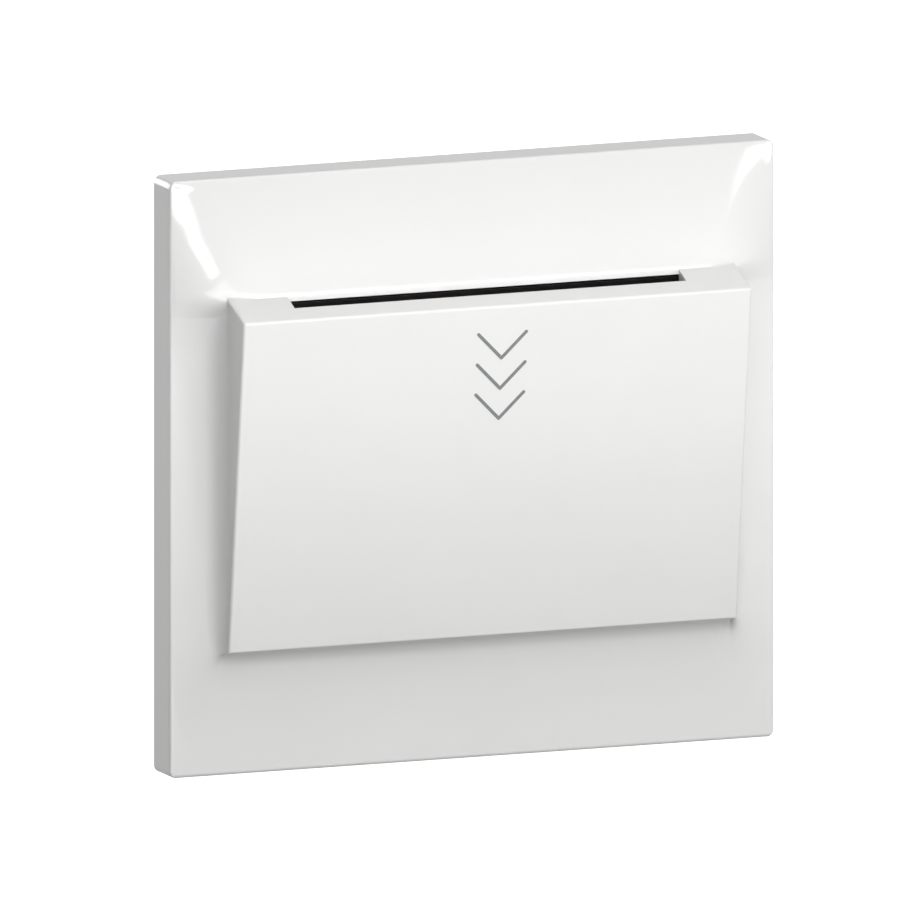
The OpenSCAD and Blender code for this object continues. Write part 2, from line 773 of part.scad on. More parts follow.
// Fixed contact strip: from the contact down over the terminal's rear face
module strip(s) {
  x0 = s * (contact_x - contact_end);
  x1 = s * (terminal_x + strip_half);
  color(brass)
    difference() {
      union() {
        block(s * terminal_x - strip_half, s * terminal_x + strip_half, strip_y, strip_back,
          block_low + 0.5, plunger_z);
        block(min(x0, x1), max(x0, x1), strip_y, strip_back,
          plunger_z - contact_half, plunger_z + contact_half);
      }
      y_rod(clamp_r + sink, s * terminal_x, clamp_z, strip_y - 1, strip_back + 1);
      y_rod(stem_r, s * contact_x, plunger_z, strip_y - 1, strip_back + 1);
    }
}

module line_strip() {
  strip(-1);
}

module load_strip() {
  strip(1);
}

module terminal(s) {
  color(brass)
    difference() {
      block(s * terminal_x - block_w / 2, s * terminal_x + block_w / 2, block_front, strip_y,
        block_low, block_top);
      z_rod(wire_r, s * terminal_x, wire_y, block_low - 1, block_top + 1);
      y_rod(clamp_r + 0.05, s * terminal_x, clamp_z, wire_y, strip_y + 1);
    }
}

module line_terminal() {
  terminal(-1);
}

module load_terminal() {
  terminal(1);
}

// Slotted screws that clamp the wires
module terminal_screws() {
  seat = strip_back + clamp_rise;
  color(zinc)
    for (s = [-1, 1])
      difference() {
        union() {
          y_rod(clamp_r, s * terminal_x, clamp_z, clamp_tip, seat + e);
          y_rod(clamp_head_r, s * terminal_x, clamp_z, seat, seat + clamp_head_h);
        }
        block(s * terminal_x - clamp_head_r - 1, s * terminal_x + clamp_head_r + 1,
          seat + clamp_head_h - drive_w, seat + clamp_head_h + 1, clamp_z - drive_w / 2, clamp_z + drive_w / 2);
      }
}

// Cross-slotted screws that join guide, yoke and case
module case_screws() {
  cross = head_r * 2 / 3;
  color(zinc)
    for (sx = [-1, 1], sz = [-1, 1])
      difference() {
        union() {
          y_rod(screw_r, sx * screw_x, sz * screw_z, -screw_seat - e, screw_l - screw_seat);
          y_rod(head_r, sx * screw_x, sz * screw_z, -screw_seat - head_h, -screw_seat);
        }
        for (turn = [0, 90])
          translate([sx * screw_x, -screw_seat - head_h, sz * screw_z])
            rotate([0, turn, 0])
              block(-cross, cross, -1, 1, -drive_w / 2, drive_w / 2);
      }
}

front_cover();
card_guide();
support_yoke();
cover_clips();
clip_rivets();
mechanism_case();
contact_cover();
actuator_lever();
lever_pin();
plunger();
contact_bridge();
bridge_contacts();
return_spring();
line_strip();
load_strip();
fixed_contacts();
line_terminal();
load_terminal();
terminal_screws();
case_screws();
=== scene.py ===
import json
import math

import bmesh
import bpy
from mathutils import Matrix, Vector


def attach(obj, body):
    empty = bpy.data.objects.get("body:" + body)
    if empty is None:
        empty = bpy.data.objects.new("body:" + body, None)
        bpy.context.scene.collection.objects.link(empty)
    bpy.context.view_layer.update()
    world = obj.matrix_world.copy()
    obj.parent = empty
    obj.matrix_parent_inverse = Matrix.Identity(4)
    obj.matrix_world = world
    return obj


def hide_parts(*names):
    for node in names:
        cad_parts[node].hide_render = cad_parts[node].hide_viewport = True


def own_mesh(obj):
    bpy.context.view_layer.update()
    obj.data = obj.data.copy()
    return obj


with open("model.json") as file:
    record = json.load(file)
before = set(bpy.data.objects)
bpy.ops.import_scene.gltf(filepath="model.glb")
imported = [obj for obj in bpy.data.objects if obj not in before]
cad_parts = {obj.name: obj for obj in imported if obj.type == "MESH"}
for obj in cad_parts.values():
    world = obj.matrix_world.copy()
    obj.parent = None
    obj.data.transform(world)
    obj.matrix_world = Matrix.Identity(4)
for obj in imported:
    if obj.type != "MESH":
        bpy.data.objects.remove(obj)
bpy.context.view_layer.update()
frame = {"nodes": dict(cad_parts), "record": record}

MM = 0.001

# Plate and pocket, in millimetres; depth is measured out of the wall, towards the viewer
HALF_W, HALF_H = 43.0, 40.0
EDGE_T, CORNER_R, EDGE_R = 5.6, 1.0, 0.45
RIM_T, SKIN_T = 2.0, 2.0
MARGIN_RISE, LOW_RISE = 2.0, 1.2
SLOT_RISE, HOLLOW_LIFT, RAMP_R = 3.9, 0.7, 10.0
WALL_X, FACE_TOP, FACE_LOW = 36.15, 22.0, -23.1
FACE_OUT_TOP, FACE_OUT_LOW = 9.2, 3.8
FRONT_WALL, SIDE_WALL = 1.8, 2.0
SLOT_UP, SLOT_W, SLOT_GAP, LIP_H = 2.25, 55.7, 2.6, 0.65
FACE_EDGE_R, LOW_EDGE_R, ROOT_R, LOW_ROOT_R, WALL_EDGE_R, LAND_EDGE_R = 0.4, 0.35, 3.0, 1.8, 0.35, 0.9
# Slope of the side margins beside the ramp, near the plate's upper edge and near the slot
EDGE_SLOPE, SLOT_SLOPE = 0.13, 0.495
# Rounding of the hips: at the plate's edge, its growth per millimetre, where it ends, and where it fades in
HIP_START, HIP_GROWTH, HIP_END, HIP_EDGE = 0.6, 0.107, (14.5, 17.0), 1.5
# Heights over which the side margin loses its curve, takes the slot's slope and loses its hollow
CURVE_END, SLOPE_START, HOLLOW_END = 14.0, 20.0, (20.5, 23.8)
LOW_STEPS = 34

CREASE = (EDGE_T + SLOT_RISE, FACE_TOP + SLOT_UP)
RAMP_ANGLE = math.atan((SLOT_RISE - HOLLOW_LIFT) / (HALF_H - CREASE[1]))
TOP = (EDGE_T + FACE_OUT_TOP, FACE_TOP)
LOW = (EDGE_T + FACE_OUT_LOW, FACE_LOW)
ROOT = (EDGE_T + LOW_RISE, FACE_LOW)
RUN, LOW_RUN, MARGIN_CURVE = HALF_W - WALL_X, HALF_H + FACE_LOW, 0.45
FACE_SLOPE = (TOP[0] - LOW[0]) / (TOP[1] - LOW[1])
INNER_D = EDGE_T - SKIN_T
FLOOR_Z = FACE_LOW + FRONT_WALL

# Rails and ribs inside the front wall, and the catches that the yoke's clips snap into
CHANNEL_T, RAIL_T, RAIL_LEAD, FREE_GAP = 4.0, 1.6, 3.0, 0.3
RAIL_TOP = FACE_TOP - FRONT_WALL - 0.8
RIB_X, RIB_H, RIB_T, RIB_TOP, RIB_LEAD = (20.0, 5.4), 2.0, 1.2, 2.0, 4.0
CATCH_X, CATCH_T, CATCH_Z, CATCH_HALF = 36.4, 1.6, 26.1, 3.5
GROOVE_X, GROOVE_R, GROOVE_D = 36.05, 0.65, 2.4

# The printed marks: place of the tips, arm, stroke and thickness
MARK_X, MARK_TIPS, MARK_ARM, MARK_STROKE, MARK_LIFT = 0.8, (14.9, 10.75, 6.65), 3.4, 0.45, 0.03

# Camera found from the photograph: parallel lines stay parallel, so it is orthographic
AZIMUTH, ELEVATION, CAMERA_R = -22.0, 10.04, 0.5
PX_PER_MM, FRAME_PX = 7.581, 900
ORIGIN_PX = (455.6, 451.9)


def inner_face(z):
    """Depth of the front wall's inner face at height z."""
    return TOP[0] - FRONT_WALL * math.hypot(1, FACE_SLOPE) - (FACE_TOP - z) * FACE_SLOPE


def ease(value, start, end):
    """Smooth step from 0 at start to 1 at end."""
    t = min(max((value - start) / (end - start), 0.0), 1.0)
    return t * t * (3 - 2 * t)


def soft_min(a, b, k):
    """The smaller of two heights, with the edge between them rounded over the height k."""
    h = max(k - abs(a - b), 0.0) / k
    return min(a, b) - h * h * k / 4


def arc(p0, p1, p2, r, n=7):
    """Points of the fillet of radius r at the corner p1 of the path p0, p1, p2."""
    a, b, c = Vector(p0), Vector(p1), Vector(p2)
    u, v = (a - b).normalized(), (c - b).normalized()
    half = u.angle(v) / 2
    reach = r / math.tan(half)
    centre = b + (u + v).normalized() * (r / math.sin(half))
    start, end = b + u * reach - centre, b + v * reach - centre
    turn = start.angle(end)
    points = []
    for i in range(n + 1):
        t = i / n
        w = (math.sin((1 - t) * turn) * start + math.sin(t * turn) * end) / math.sin(turn)
        points.append(tuple(centre + w))
    return points


def spread(p, q, n):
    """Points between p and q, ends left out."""
    return [(p[0] + (q[0] - p[0]) * i / n, p[1] + (q[1] - p[1]) * i / n) for i in range(1, n)]


def link(parts):
    """Joins stretches of points, each with the number of steps to the next stretch."""
    path = []
    for i, (points, steps) in enumerate(parts):
        path += points
        if steps and i + 1 < len(parts):
            path += spread(points[-1], parts[i + 1][0][0], steps)
    return path


def ramp_hollow():
    """Points of the hollow that ends the ramp, from its start to the slot's back edge."""
    s, c = math.sin(RAMP_ANGLE), math.cos(RAMP_ANGLE)
    drop = HALF_H - CREASE[1]
    off = (SLOT_RISE - drop * math.tan(RAMP_ANGLE)) * c
    along = drop * c + SLOT_RISE * s - math.sqrt(2 * RAMP_R * off - off * off)
    start = (EDGE_T + along * s, HALF_H - along * c)
    centre = (start[0] + RAMP_R * c, start[1] + RAMP_R * s)
    a0 = math.atan2(start[1] - centre[1], start[0] - centre[0]) % math.tau
    a1 = math.atan2(CREASE[1] - centre[1], CREASE[0] - centre[0]) % math.tau
    angles = [a0 + (a1 - a0) * i / 14 for i in range(15)]
    return [(centre[0] + RAMP_R * math.cos(a), centre[1] + RAMP_R * math.sin(a)) for a in angles]


def side_profile():
    """The cover's outline from the side as (depth, height), from the wall at the top to the wall below."""
    hollow = ramp_hollow()
    top_back, top_edge = (0.0, HALF_H), (EDGE_T, HALF_H)
    low_edge, low_back = (EDGE_T, -HALF_H), (0.0, -HALF_H)
    corner_rows = [(EDGE_T + (HALF_H - z) * math.tan(RAMP_ANGLE), z) for z in (39.4, 39.2, 39.0)]
    below = (ROOT[0] - 2 * LOW_RISE / LOW_RUN, ROOT[1] - 1)
    low_rows = [
        (EDGE_T + LOW_RISE * (1 - i / LOW_STEPS) ** 2, FACE_LOW - LOW_RUN * i / LOW_STEPS)
        for i in range(4, LOW_STEPS - 1)
    ]
    low_rows += [(EDGE_T + LOW_RISE * ((HALF_H + z) / LOW_RUN) ** 2, z) for z in (-39.2, -39.4)]
    return link([
        ([top_back], 2),
        (arc(top_back, top_edge, hollow[0], EDGE_R), 0),
        (corner_rows, 44),
        (hollow, 8),
        (arc(CREASE, TOP, LOW, FACE_EDGE_R), 16),
        (arc(TOP, LOW, ROOT, LOW_EDGE_R), 2),
        (arc(LOW, ROOT, below, LOW_ROOT_R), 1),
        (low_rows, 1),
        (arc((EDGE_T, FACE_LOW), low_edge, low_back, EDGE_R), 2),
        ([low_back], 0),
    ])


# Rows of the lower margin, as distance below the pocket and depth
LOW_TABLE = [(FACE_LOW - z, d) for d, z in side_profile() if z < FACE_LOW - 1e-6 and d > EDGE_T]


def plan_columns():
    """Columns of the right half, from the wall to the middle, as (kind, value, height)."""
    columns = [("rim", 0.0, EDGE_T * i / 3) for i in range(3)]
    edge = arc((0.0, 0.0), (0.0, EDGE_T), (RUN, EDGE_T + MARGIN_RISE), EDGE_R)
    columns += [("rim", v, d) for v, d in edge]
    columns += [("margin", i / 26, 0.0) for i in range(1, 27)]
    columns += [("root", i / 8, 0.0) for i in range(1, 9)]
    columns += [("wall", i / 4, 0.0) for i in range(1, 5)]
    columns += [("turn", math.pi / 2 * i / 6, 0.0) for i in range(1, 7)]
    flat = [35.2, 34.8, 34.3, 33.7, 33.0, 32.2, 31.4, 30.4, 29.2, SLOT_W / 2]
    flat += [25.0, 22.0, 18.0, 14.0, 10.0, 6.0, 3.0]
    columns += [("flat", x, 0.0) for x in flat]
    return columns


def half_width(z):
    """Half width of the plate at height z, with its rounded outline corners."""
    over = abs(z) - (HALF_H - CORNER_R)
    if over <= 0:
        return HALF_W
    return HALF_W - CORNER_R + math.sqrt(max(CORNER_R ** 2 - over * over, 0.0))


def margin_form(a, z):
    """Side margin at height z: its mean slope, its curve, and where the hollow at its root starts."""
    slope, curve = MARGIN_RISE / RUN, MARGIN_CURVE * (1 - ease(z, CURVE_END, FACE_TOP))
    if z > CREASE[1]:
        slope = EDGE_SLOPE + (SLOT_SLOPE - EDGE_SLOPE) * (HALF_H - z) / (HALF_H - CREASE[1])
    else:
        slope += (SLOT_SLOPE - slope) * ease(z, SLOPE_START, CREASE[1])
    angle = math.atan(slope * (1 + curve))
    spread_out = math.tan(math.pi / 4 - angle / 2)
    room = max(max(a, LOW[0]) - WALL_EDGE_R - EDGE_T - slope * RUN, 0.0)
    radius = min(ROOT_R * (1 - ease(z, *HOLLOW_END)), room / spread_out)
    for _ in range(4):
        start = RUN - radius * (1 - math.sin(angle))
        angle = math.atan(slope * (1 - curve + 2 * curve * start / RUN))
    return slope, curve, radius, angle, start


def slope_depth(v, form):
    """Depth of the side margin's slope, v in from the plate's side."""
    return EDGE_T + form[0] * v * (1 - form[1] + form[1] * v / RUN)


def side_depth(v, form):
    """Depth of the side margin with the hollow at its root."""
    radius, angle, start = form[2:]
    if v <= start or radius <= 0:
        return slope_depth(v, form)
    turn = math.asin(min(1 - (RUN - v) / radius, 1.0))
    return slope_depth(start, form) + radius * (math.cos(angle) - math.cos(turn))


def low_depth(t):
    """Depth of the lower margin with the hollow at its root, t below the pocket."""
    before = (0.0, LOW_TABLE[0][1])
    for row in LOW_TABLE:
        if row[0] >= t:
            share = (t - before[0]) / max(row[0] - before[0], 1e-6)
            return before[1] + (row[1] - before[1]) * share
        before = row
    return EDGE_T


def corner_depth(a, z, v, form):
    """Depth below the pocket's lower corner, where the side margin turns into the lower one."""
    across, down = (RUN - v) / RUN, (FACE_LOW - z) / LOW_RUN
    off = math.hypot(across, down)
    depth = EDGE_T
    if off < 1:
        side = side_depth(RUN * (1 - off), form)
        share = (across / off) ** 2 if off > 0 else 1.0
        depth = side * share + low_depth(off * LOW_RUN) * (1 - share)
    return min(depth, a) if a < EDGE_T else depth


def hip_round(z):
    """Height over which the hip between a side margin and the ramp is rounded."""
    off = HALF_H - z
    return (HIP_START + HIP_GROWTH * off) * (1 - 0.97 * ease(off, *HIP_END))


def hip_height(a, z, v, form):
    """Depth of the front where the side margin, v in from the plate's side, meets the profile's depth a."""
    side = slope_depth(v, form)
    sharp = min(a, side)
    if a < EDGE_T or z < FACE_TOP:
        return sharp
    fade = ease(min(HALF_H - z, v), 0.0, HIP_EDGE)
    return sharp + (soft_min(a, side, hip_round(z)) - sharp) * fade


def surface_point(column, a, z):
    """Point of the front surface on one column, where the side profile has depth a at height z."""
    kind, value, height = column
    edge = half_width(z)
    form = margin_form(a, z)
    radius, angle, end = form[2:]
    start = EDGE_R * 0.7
    root = side_depth(RUN, form) if radius > 0 else hip_height(a, z, RUN, form)
    root = min(root, a)
    softer = ease(z, FACE_TOP, CREASE[1])
    turn_r = min(WALL_EDGE_R + (LAND_EDGE_R - WALL_EDGE_R) * softer, max(a - root, 0.0))
    if kind == "rim":
        if height > EDGE_T:
            height = min(height, slope_depth(value, form))
        return edge - value, min(a, height)
    if kind in ("margin", "root"):
        turn = angle + (math.pi / 2 - angle) * value
        v = start + (end - start) * value if kind == "margin" else RUN - radius * (1 - math.sin(turn))
        if z < FACE_LOW:
            d = corner_depth(a, z, v, form)
        elif kind == "margin" or radius <= 0:
            d = hip_height(a, z, v, form)
        else:
            d = min(side_depth(v, form), a)
        return edge - v * (edge - WALL_X) / RUN, d
    if kind == "wall":
        x, d = WALL_X - 0.01 * value, root + (a - turn_r - root) * value if z > FACE_LOW else a
    elif kind == "turn":
        sliver = 0.01 + 0.02 * value
        x, d = WALL_X - sliver - turn_r * (1 - math.cos(value)), a - turn_r * (1 - math.sin(value))
    else:
        x, d = value, a
    if z > CREASE[1]:
        d = hip_height(a, z, HALF_W - x, form)
    return x, d


def mesh_object(name, verts, faces):
    """New object from points in millimetres, with its faces turned outwards."""
    mesh = bpy.data.meshes.new(name)
    mesh.from_pydata([(x * MM, y * MM, z * MM) for x, y, z in verts], [], faces)
    mesh.validate()
    obj = bpy.data.objects.new(name, mesh)
    bpy.context.scene.collection.objects.link(obj)
    bm = bmesh.new()
    bm.from_mesh(mesh)
    bmesh.ops.recalc_face_normals(bm, faces=bm.faces)
    bm.to_mesh(mesh)
    bm.free()
    return obj


def prism_faces(n):
    """Faces of a closed prism whose two ends have n points each."""
    sides = [(i, (i + 1) % n, n + (i + 1) % n, n + i) for i in range(n)]
    return [tuple(range(n)), tuple(range(n, 2 * n))] + sides


def prism(name, points, x0, x1):
    """Closed prism along X from a side outline of (depth, height) points."""
    verts = [(x, -d, z) for x in (x0, x1) for d, z in points]
    return mesh_object(name, verts, prism_faces(len(points)))


def upright(name, points, z0, z1):
    """Closed prism along Z from an outline of (x, depth) points seen from above."""
    verts = [(x, -d, z) for z in (z0, z1) for x, d in points]
    return mesh_object(name, verts, prism_faces(len(points)))


def slab(name, x0, x1, d0, d1, z0, z1):
    return prism(name, [(d0, z0), (d1, z0), (d1, z1), (d0, z1)], x0, x1)


def carve(obj, cutters, operation="DIFFERENCE"):
    """Applies booleans with the cutters and removes them."""
    for cutter in cutters:
        modifier = obj.modifiers.new("cut", "BOOLEAN")
        modifier.operation, modifier.solver, modifier.object = operation, "EXACT", cutter
    evaluated = obj.evaluated_get(bpy.context.evaluated_depsgraph_get())
    mesh = bpy.data.meshes.new_from_object(evaluated)
    obj.modifiers.clear()
    obj.data = mesh
    for cutter in cutters:
        bpy.data.objects.remove(cutter)


def cover_hollows():
    """Cutters for the inside of the cover and for the slot."""
    ramp_in = SKIN_T / math.cos(RAMP_ANGLE)
    slope = math.tan(RAMP_ANGLE)
    lid_d = CREASE[0] - 3 - ramp_in
    under_z = HALF_H - (CREASE[0] - 3 - EDGE_T) / slope
    land_slope = (CREASE[1] - FACE_TOP) / (TOP[0] - CREASE[0])
    front_top = inner_face(FACE_TOP - FRONT_WALL)
    in_x = WALL_X - SIDE_WALL
    pocket = [
        (INNER_D - 0.1, HALF_H - RIM_T),
        (EDGE_T + RIM_T * slope - ramp_in, HALF_H - RIM_T),
        (lid_d, under_z),
        (lid_d, CREASE[1] - LIP_H),
        (CREASE[0], CREASE[1] - LIP_H),
        (CREASE[0], CREASE[1] - FRONT_WALL),
        (front_top, CREASE[1] - FRONT_WALL - (front_top - CREASE[0]) * land_slope),
        (inner_face(FLOOR_Z), FLOOR_Z),
        (INNER_D - 0.1, FLOOR_Z),
    ]
    half = SLOT_W / 2
    return [
        slab("hollow_plate", -HALF_W + RIM_T, HALF_W - RIM_T, -1, INNER_D, -HALF_H + RIM_T, HALF_H - RIM_T),
        prism("hollow_pocket", pocket, -in_x, in_x),
        slab("hollow_slot", -half, half, CREASE[0], CREASE[0] + SLOT_GAP, FACE_TOP - 4, CREASE[1] + 1),
    ]


def card_rib(x):
    """Rib inside the front wall that keeps the card close to the lever's nose."""
    low, end = FLOOR_Z + RIB_H, RIB_TOP + RIB_LEAD
    points = [
        (inner_face(low) + 0.5, low),
        (inner_face(low) - RIB_H, low),
        (inner_face(RIB_TOP) - RIB_H, RIB_TOP),
        (inner_face(end), end),
        (inner_face(end) + 0.5, end),
    ]
    return prism("rib", points, x - RIB_T / 2, x + RIB_T / 2)


def card_rail(sign):
    """Rail inside the front wall that keeps the card from moving sideways."""
    lead, low, reach = RAIL_TOP - RAIL_LEAD, FLOOR_Z - 0.5, CHANNEL_T - FREE_GAP
    points = [
        (inner_face(low) + 0.5, low),
        (inner_face(low) - reach, low),
        (inner_face(lead) - reach, lead),
        (inner_face(RAIL_TOP), RAIL_TOP),
        (inner_face(RAIL_TOP) + 0.5, RAIL_TOP),
    ]
    ends = sorted((sign * SLOT_W / 2, sign * (SLOT_W / 2 + RAIL_T)))
    return prism("rail", points, *ends)


def clip_catch(sign, z):
    """Grooved catch behind the side margin, which a spring clip of the yoke snaps into."""
    near, far = GROOVE_D - CATCH_T, INNER_D + FREE_GAP
    reach = math.acos((CATCH_X - GROOVE_X) / GROOVE_R)
    angles = [reach - 2 * reach * i / 8 for i in range(9)]
    groove = [(GROOVE_X + GROOVE_R * math.cos(a), GROOVE_D + GROOVE_R * math.sin(a)) for a in angles]
    outline = [(CATCH_X, far), *groove, (CATCH_X, near), (CATCH_X + CATCH_T, near), (CATCH_X + CATCH_T, far)]
    return upright("catch", [(sign * x, d) for x, d in outline], z - CATCH_HALF, z + CATCH_HALF)


def cover_inside():
    """Ribs, rails and catches that belong to the cover's moulding."""
    inside = []
    for sign in (-1, 1):
        inside += [card_rib(sign * x) for x in RIB_X]
        inside.append(card_rail(sign))
        inside += [clip_catch(sign, z) for z in (-CATCH_Z, CATCH_Z)]
    return inside


def front_cover():
    """The whole moulded cover: outer skin, hollow inside and slot."""
    rows = side_profile()
    right = plan_columns()
    columns = [(1, c) for c in right] + [(-1, c) for c in reversed(right)]
    verts = []
    for a, z in rows:
        for sign, column in columns:
            x, d = surface_point(column, a, z)
            verts.append((sign * x, -d, z))
    n = len(columns)
    faces = []
    for i in range(len(rows) - 1):
        for j in range(n - 1):
            faces.append((i * n + j, i * n + j + 1, (i + 1) * n + j + 1, (i + 1) * n + j))
    last = (len(rows) - 1) * n
    left_side = [i * n + n - 1 for i in range(len(rows))]
    right_side = [i * n for i in range(len(rows))]
    faces.append(tuple(right_side[::-1] + list(range(1, n - 1)) + left_side + list(range(last + n - 2, last, -1))))
    obj = mesh_object("cover", verts, faces)
    bm = bmesh.new()
    bm.from_mesh(obj.data)
    bmesh.ops.remove_doubles(bm, verts=bm.verts, dist=1e-6)
    bmesh.ops.dissolve_degenerate(bm, edges=bm.edges, dist=1e-7)
    bmesh.ops.recalc_face_normals(bm, faces=bm.faces)
    bm.to_mesh(obj.data)
    bm.free()
    carve(obj, cover_hollows())
    carve(obj, cover_inside(), "UNION")
    return obj


def shade(obj, angle=32):
    """Smooth shading, kept flat across sharp edges and weighted by face area."""
    for polygon in obj.data.polygons:
        polygon.use_smooth = True
    obj.data.set_sharp_from_angle(angle=math.radians(angle))
    weighted = obj.modifiers.new("weighted", "WEIGHTED_NORMAL")
    weighted.keep_sharp = True
    weighted.weight = 80


def face_point(x, z, lift=0.0):
    """Point on the pocket's sloping face, lifted out of it."""
    depth = LOW[0] + (z - FACE_LOW) * FACE_SLOPE
    tilt = math.atan(FACE_SLOPE)
    return (x, -depth - lift * math.cos(tilt), z - lift * math.sin(tilt))


def chevron(name, tip_x, tip_z, arm, width, lift):
    """One printed direction mark: a V of two round-ended strokes lying on the pocket's face."""
    r = width / 2
    diagonal = r * math.sqrt(2)
    left, right, tip = (tip_x - arm, tip_z + arm), (tip_x + arm, tip_z + arm), (tip_x, tip_z)
    outline = []
    for i in range(9):
        a = math.radians(135 - 180 * i / 8)
        outline.append((right[0] + r * math.cos(a), right[1] + r * math.sin(a)))
    for i in range(7):
        a = math.radians(-45 - 90 * i / 6)
        outline.append((tip[0] + r * math.cos(a), tip[1] + r * math.sin(a)))
    for i in range(9):
        a = math.radians(225 - 180 * i / 8)
        outline.append((left[0] + r * math.cos(a), left[1] + r * math.sin(a)))
    outline.append((tip[0], tip[1] + diagonal))
    verts = [face_point(x, z, h) for h in (-0.05, lift) for x, z in outline]
    return mesh_object(name, verts, prism_faces(len(outline)))


def new_material(name):
    material = bpy.data.materials.new(name)
    material.use_nodes = True
    tree = material.node_tree
    return material, tree, tree.nodes["Principled BSDF"]


def noise(tree, scale, detail, stretch=(1, 1, 1)):
    """Noise in the object's own metres; scale is in features per metre."""
    place = tree.nodes.new("ShaderNodeTexCoord")
    mapping = tree.nodes.new("ShaderNodeMapping")
    mapping.inputs["Scale"].default_value = stretch
    texture = tree.nodes.new("ShaderNodeTexNoise")
    texture.inputs["Scale"].default_value = scale
    texture.inputs["Detail"].default_value = detail
    tree.links.new(place.outputs["Object"], mapping.inputs["Vector"])
    tree.links.new(mapping.outputs["Vector"], texture.inputs["Vector"])
    return texture.outputs["Fac"]


def ramp(tree, source, low, high, start=0.3, end=0.7):
    node = tree.nodes.new("ShaderNodeValToRGB")
    node.color_ramp.elements[0].position = start
    node.color_ramp.elements[1].position = end
    node.color_ramp.elements[0].color = (*low, 1)
    node.color_ramp.elements[1].color = (*high, 1)
    tree.links.new(source, node.inputs["Fac"])
    return node.outputs["Color"]


def spread_value(tree, source, low, high):
    node = tree.nodes.new("ShaderNodeMapRange")
    node.inputs["From Min"].default_value = 0.3
    node.inputs["From Max"].default_value = 0.7
    node.inputs["To Min"].default_value = low
    node.inputs["To Max"].default_value = high
    tree.links.new(source, node.inputs["Value"])
    return node.outputs["Result"]


def bump(tree, shader, source, height, strength):
    node = tree.nodes.new("ShaderNodeBump")
    node.inputs["Distance"].default_value = height
    node.inputs["Strength"].default_value = strength
    tree.links.new(source, node.inputs["Height"])
    tree.links.new(node.outputs["Normal"], shader.inputs["Normal"])


def plastic(name, colour, rough, grain=2600, depth=0.00001, shift=0.012):
    """Moulded plastic: faint cloudiness in the colour, uneven gloss and a fine moulded grain."""
    material, tree, shader = new_material(name)
    cloud = noise(tree, 90, 3)
    low = tuple(max(c - shift, 0.0) for c in colour)
    tree.links.new(ramp(tree, cloud, low, colour), shader.inputs["Base Color"])
    gloss = spread_value(tree, noise(tree, 260, 4), rough * 0.85, rough * 1.15)
    tree.links.new(gloss, shader.inputs["Roughness"])
    bump(tree, shader, noise(tree, grain, 2), depth, 0.35)
    return material


def metal(name, low, high, rough, stretch, scale=900):
    """Rolled or plated metal: fine drawn lines, cloudy tone and uneven polish."""
    material, tree, shader = new_material(name)
    shader.inputs["Metallic"].default_value = 1.0
    lines = noise(tree, scale, 5, stretch)
    tree.links.new(ramp(tree, noise(tree, 140, 4), low, high), shader.inputs["Base Color"])
    tree.links.new(spread_value(tree, lines, rough * 0.75, rough * 1.3), shader.inputs["Roughness"])
    bump(tree, shader, lines, 0.00002, 0.25)
    return material


def ink():
    """Grey print of the direction marks."""
    material, tree, shader = new_material("chevron_ink")
    tone = ramp(tree, noise(tree, 2200, 3), (0.17, 0.18, 0.18), (0.21, 0.22, 0.22))
    tree.links.new(tone, shader.inputs["Base Color"])
    shader.inputs["Roughness"].default_value = 0.5
    return material


def give(obj, material):
    obj.data.materials.clear()
    obj.data.materials.append(material)


def area_light(name, place, target, size, power, mirrored):
    """Soft box at place, facing target; mirrored says whether it shows in glossy surfaces."""
    data = bpy.data.lights.new(name, "AREA")
    data.shape, data.size, data.size_y, data.energy = "RECTANGLE", size[0], size[1], power
    obj = bpy.data.objects.new(name, data)
    obj.location = place
    obj.rotation_euler = (Vector(target) - Vector(place)).to_track_quat("-Z", "Y").to_euler()
    obj.visible_glossy = mirrored
    bpy.context.scene.collection.objects.link(obj)


def direction(azimuth, elevation):
    """Unit vector from the object towards a place seen at these angles from the front."""
    a, e = math.radians(azimuth), math.radians(elevation)
    return Vector((math.sin(a) * math.cos(e), -math.cos(a) * math.cos(e), math.sin(e)))


# Front cover and its direction marks
cover = front_cover()
shade(cover)
give(cover, plastic("cover_white", (0.75, 0.75, 0.745), 0.1))
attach(cover, "base")
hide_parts("front_cover")

mark_ink = ink()
for index, tip_z in enumerate(MARK_TIPS):
    mark = chevron(f"chevron_{index + 1}", MARK_X, tip_z, MARK_ARM, MARK_STROKE, MARK_LIFT)
    give(mark, mark_ink)
    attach(mark, "base")

# Materials of the mechanism
finishes = {
    "guide_black": plastic("guide_black", (0.012, 0.0105, 0.009), 0.45, shift=0.004),
    "case_cream": plastic("case_cream", (0.74, 0.73, 0.68), 0.42, shift=0.03),
    "lid_grey": plastic("lid_grey", (0.12, 0.125, 0.13), 0.45, shift=0.02),
    "plunger_white": plastic("plunger_white", (0.75, 0.75, 0.73), 0.35, shift=0.02),
    "zinc_steel": metal("zinc_steel", (0.5, 0.51, 0.53), (0.66, 0.67, 0.68), 0.3, (1, 1, 14)),
    "spring_steel": metal("spring_steel", (0.36, 0.37, 0.39), (0.5, 0.51, 0.53), 0.26, (12, 1, 1)),
    "copper": metal("copper", (0.6, 0.3, 0.17), (0.76, 0.42, 0.26), 0.28, (12, 1, 1)),
    "brass": metal("brass", (0.62, 0.44, 0.16), (0.78, 0.6, 0.27), 0.28, (1, 1, 12)),
    "silver": metal("silver", (0.76, 0.75, 0.72), (0.86, 0.85, 0.82), 0.22, (1, 1, 1)),
}
slots = {entry["node"]: entry["material_slot"] for entry in frame["record"]["subparts"]}
for node, obj in frame["nodes"].items():
    if node != "front_cover":
        give(obj, finishes[slots[node]])
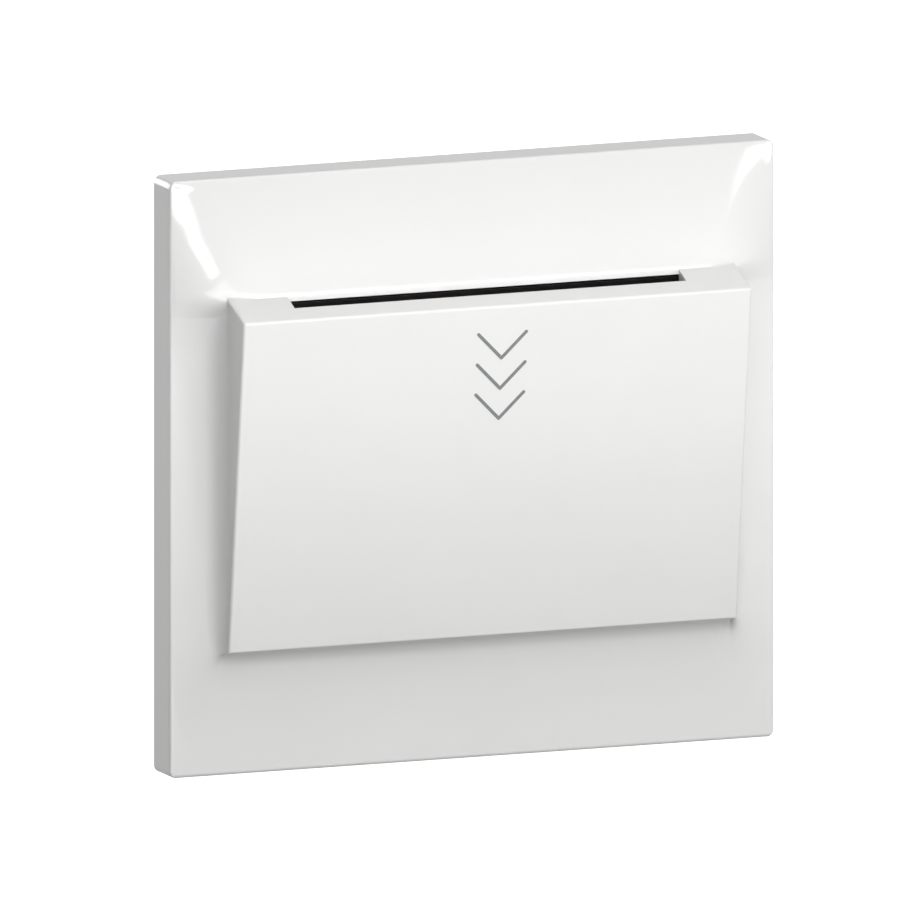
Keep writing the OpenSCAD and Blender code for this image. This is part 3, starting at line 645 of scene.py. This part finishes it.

# Return spring: a copy of the part's helix at its rest length, held to the base in place of the part
spring_node = frame["nodes"]["return_spring"]
spring = bpy.data.objects.new("coil_spring", spring_node.data.copy())
bpy.context.scene.collection.objects.link(spring)
spring.matrix_world = spring_node.matrix_world.copy()
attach(spring, "base")
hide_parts("return_spring")
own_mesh(spring)

# Pale floor well below the switch, which hangs clear of it as on its wall
FLOOR_HALF, FLOOR_DOWN = 9000, -320
floor_corners = [(sx * FLOOR_HALF, sy * FLOOR_HALF, FLOOR_DOWN) for sx, sy in ((-1, -1), (1, -1), (1, 1), (-1, 1))]
floor = mesh_object("floor", floor_corners, [(0, 1, 2, 3)])
pale, _, pale_shader = new_material("floor_pale")
pale_shader.inputs["Base Color"].default_value = (0.8, 0.8, 0.8, 1)
pale_shader.inputs["Emission Color"].default_value = (1, 1, 1, 1)
pale_shader.inputs["Emission Strength"].default_value = 1.0
give(floor, pale)
floor.visible_diffuse = False
floor.visible_glossy = False

# Soft studio light: a bright surround behind the switch, level boxes in front that show in the glossy hips, large
# boxes above and beside the camera, low fills, and a bar close to the pocket's face
world = bpy.data.worlds.new("studio")
world.use_nodes = True
world_tree = world.node_tree
surround = world_tree.nodes["Background"]
surround.inputs["Color"].default_value = (1, 1, 1, 1)
world_place = world_tree.nodes.new("ShaderNodeTexCoord")
world_axes = world_tree.nodes.new("ShaderNodeSeparateXYZ")
world_fade = world_tree.nodes.new("ShaderNodeMapRange")
world_fade.inputs["From Min"].default_value = -0.25
world_fade.inputs["From Max"].default_value = 0.25
world_fade.inputs["To Min"].default_value = 0.01
world_fade.inputs["To Max"].default_value = 0.64
world_tree.links.new(world_place.outputs["Generated"], world_axes.inputs["Vector"])
world_tree.links.new(world_axes.outputs["Y"], world_fade.inputs["Value"])
world_tree.links.new(world_fade.outputs["Result"], surround.inputs["Strength"])
bpy.context.scene.world = world
LIGHT_R = 0.7
SQUARE = (0.32, 0.32)
for name, azimuth, elevation, distance, size, power, mirrored in (
    ("front_wide", 9.4, -1.4, LIGHT_R, (0.35, 0.137), 1.42, True),
    ("front_left", -7.5, 4.4, LIGHT_R, (0.093, 0.108), 0.3, True),
    ("front_right", 31.2, 0.5, LIGHT_R, (0.107, 0.203), 0.45, True),
    ("front_low", 22, -12, LIGHT_R, (0.3, 0.12), 0.3, False),
    ("left_soft", -15, 28, LIGHT_R, SQUARE, 0.85, True),
    ("high_left", -15, 44, LIGHT_R, SQUARE, 0.55, True),
    ("high_right", 20, 60, LIGHT_R, SQUARE, 1.45, True),
    ("far_right", 88, 28, LIGHT_R, SQUARE, 0.15, True),
    ("low_right", 50, -25, 0.6, (0.3, 0.12), 0.16, False),
    ("left_fill", -50, 8, LIGHT_R, SQUARE, 0.2, False),
    ("back_left", -150, 8, LIGHT_R, SQUARE, 1.3, True),
):
    area_light(name, direction(azimuth, elevation) * distance, (0, 0, 0), size, power, mirrored)
area_light("near_bar", (0.015, -0.06, 0.018), (0.015, 0, 0.018), (0.24, 0.02), 0.027, False)

# Camera at the photograph's viewing angle
camera_data = bpy.data.cameras.new("camera")
camera_data.type = "ORTHO"
camera_data.ortho_scale = FRAME_PX / PX_PER_MM * MM
camera = bpy.data.objects.new("camera", camera_data)
bpy.context.scene.collection.objects.link(camera)
back = direction(AZIMUTH, ELEVATION)
right = Vector((math.cos(math.radians(AZIMUTH)), math.sin(math.radians(AZIMUTH)), 0))
up = back.cross(right)
middle = FRAME_PX / 2 - 0.5
aim = (right * (middle - ORIGIN_PX[0]) + up * (ORIGIN_PX[1] - middle)) / PX_PER_MM * MM
camera.location = aim + back * CAMERA_R
camera.rotation_euler = (-back).to_track_quat("-Z", "Y").to_euler()
bpy.context.scene.camera = camera
bpy.context.scene.view_settings.view_transform = "Standard"
